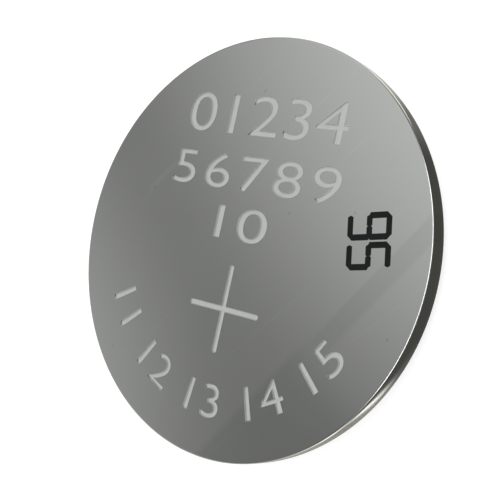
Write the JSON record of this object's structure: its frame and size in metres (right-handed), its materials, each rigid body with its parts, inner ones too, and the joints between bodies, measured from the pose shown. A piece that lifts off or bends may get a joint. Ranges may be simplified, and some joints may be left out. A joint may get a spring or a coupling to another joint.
{
  "type": "lithium coin cell",
  "caption": "Flat round lithium coin cell: a drawn steel can crimped over a plastic gasket and a pressed steel cap, sealing the electrode stack inside.",
  "frame": {"origin": "centre of the negative contact, in the plane that the cell rests on", "axes": "+Z along the cell's axis, out of the positive face; +Y towards the top of the marks on that face"},
  "size_m": [0.016, 0.016, 0.002],
  "materials": {
    "can_steel": "bright rolled stainless steel with stamped marks and an ink code",
    "gasket_plastic": "natural milky moulded plastic",
    "cap_steel": "bright pressed stainless steel",
    "cathode": "pressed black powder",
    "collector_steel": "punched steel",
    "separator_film": "white porous film",
    "lithium": "soft dull metal foil"
  },
  "bodies": {
    "root": {"positive_can": "can_steel", "gasket": "gasket_plastic", "negative_cap": "cap_steel", "cathode_pellet": "cathode", "cathode_collector": "collector_steel", "separator": "separator_film", "lithium_anode": "lithium"}
  },
  "joints": []
}
